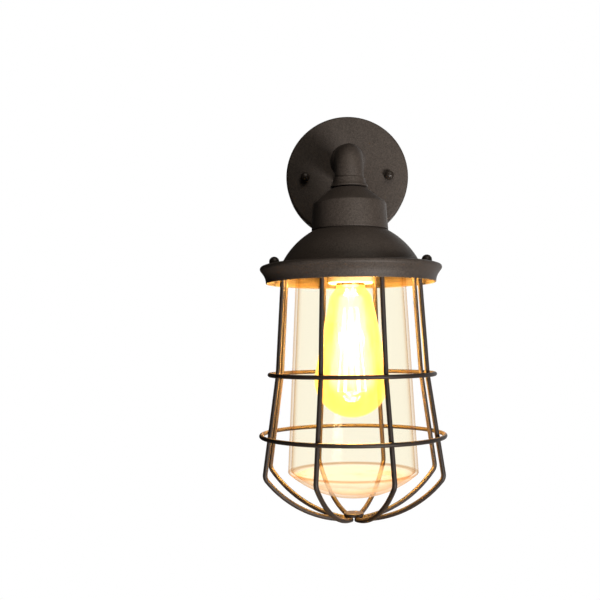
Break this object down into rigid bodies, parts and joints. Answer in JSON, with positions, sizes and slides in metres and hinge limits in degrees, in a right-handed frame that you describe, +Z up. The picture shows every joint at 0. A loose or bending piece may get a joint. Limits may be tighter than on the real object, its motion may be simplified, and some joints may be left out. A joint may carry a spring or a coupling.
{
  "type": "cage wall light",
  "caption": "Outdoor wall light with a round backplate, elbow arm, spun hood, clear jar over a screw-in bulb, and a wire cage that comes off with two ball nuts.",
  "frame": {"origin": "centre of the backplate's rear face, on the wall, at the height of the arm's axis", "axes": "+Z up along the lamp's axis, +Y into the wall, so the light stands out towards -Y, and +X to the right as seen from the room"},
  "size_m": [0.1594, 0.1967, 0.3743],
  "materials": {
    "bronze_paint": "fine-textured dark bronze powder coat",
    "zinc": "zinc plated steel",
    "green_zinc": "green passivated steel",
    "steel": "bright steel",
    "brass": "pressed brass",
    "solder": "dull tin",
    "foam": "closed-cell foam",
    "dark_rubber": "matt rubber",
    "silicone": "soft silicone",
    "porcelain": "glazed",
    "black_glass": "glossy black",
    "clear_glass": "clear",
    "stem_glass": "clear",
    "amber_glass": "amber tint",
    "filament": "glowing when lit"
  },
  "bodies": {
    "fixture": {"wall_gasket": "foam", "mounting_bracket": "zinc", "bracket_studs": "steel", "stud_locknuts": "zinc", "ground_screw": "green_zinc", "canopy": "bronze_paint", "canopy_nuts": "bronze_paint", "arm_pipe": "bronze_paint", "arm_lockwasher": "zinc", "arm_locknut": "zinc", "elbow": "bronze_paint", "neck_washer": "dark_rubber", "neck_nipple": "zinc", "nipple_lockwasher": "zinc", "nipple_locknut": "zinc", "socket_cup": "bronze_paint", "hood": "bronze_paint", "hood_gasket": "silicone", "socket_bracket": "zinc", "socket_screws": "steel", "socket_body": "porcelain", "socket_shell": "brass", "socket_contact": "brass"},
    "cage": {"cage_plate": "bronze_paint", "cage_studs": "steel", "cage_rib_1": "bronze_paint", "cage_rib_2": "bronze_paint", "cage_rib_3": "bronze_paint", "cage_rib_4": "bronze_paint", "cage_rib_5": "bronze_paint", "cage_rib_6": "bronze_paint", "cage_rib_7": "bronze_paint", "cage_rib_8": "bronze_paint", "upper_ring": "bronze_paint", "lower_ring": "bronze_paint", "bottom_disc": "bronze_paint", "glass_gasket": "silicone", "glass_shade": "clear_glass"},
    "left_washer": {"hood_washer_left": "steel"},
    "left_nut": {"hood_nut_left": "bronze_paint"},
    "right_washer": {"hood_washer_right": "steel"},
    "right_nut": {"hood_nut_right": "bronze_paint"},
    "bulb_foot": {"bulb_contact": "solder"},
    "bulb": {"bulb_insulator": "black_glass", "bulb_cap": "brass", "bulb_glass": "amber_glass", "bulb_stem": "stem_glass", "bulb_wires": "steel", "bulb_filaments": "filament"}
  },
  "joints": [
    {"name": "cage_lower", "type": "slide", "parent": "fixture", "child": "cage", "axis": [0, 0, -1], "range_m": [0, 0.16]},
    {"name": "bulb_lower", "type": "slide", "parent": "fixture", "child": "bulb_foot", "axis": [0, 0, -1], "range_m": [0, 0.01815]},
    {"name": "bulb_turn", "type": "hinge", "parent": "bulb_foot", "child": "bulb", "pos_m": [0, -0.117, -0.1], "axis": [0, 0, -1], "range_deg": [0, 1801]},
    {"name": "left_nut_rise", "type": "slide", "parent": "fixture", "child": "left_washer", "axis": [0, 0, 1], "range_m": [0, 0.00476]},
    {"name": "left_nut_turn", "type": "hinge", "parent": "left_washer", "child": "left_nut", "pos_m": [-0.0657, -0.117, -0.092], "axis": [0, 0, 1], "range_deg": [0, 2161]},
    {"name": "right_nut_rise", "type": "slide", "parent": "fixture", "child": "right_washer", "axis": [0, 0, 1], "range_m": [0, 0.00476]},
    {"name": "right_nut_turn", "type": "hinge", "parent": "right_washer", "child": "right_nut", "pos_m": [0.0657, -0.117, -0.092], "axis": [0, 0, 1], "range_deg": [0, 2161]}
  ],
  "couplings": [
    {"joint": "bulb_turn", "follows": "bulb_lower", "rad_per_m": 1731.4},
    {"joint": "left_nut_turn", "follows": "left_nut_rise", "rad_per_m": 7913.3},
    {"joint": "right_nut_turn", "follows": "right_nut_rise", "rad_per_m": 7913.3}
  ]
}
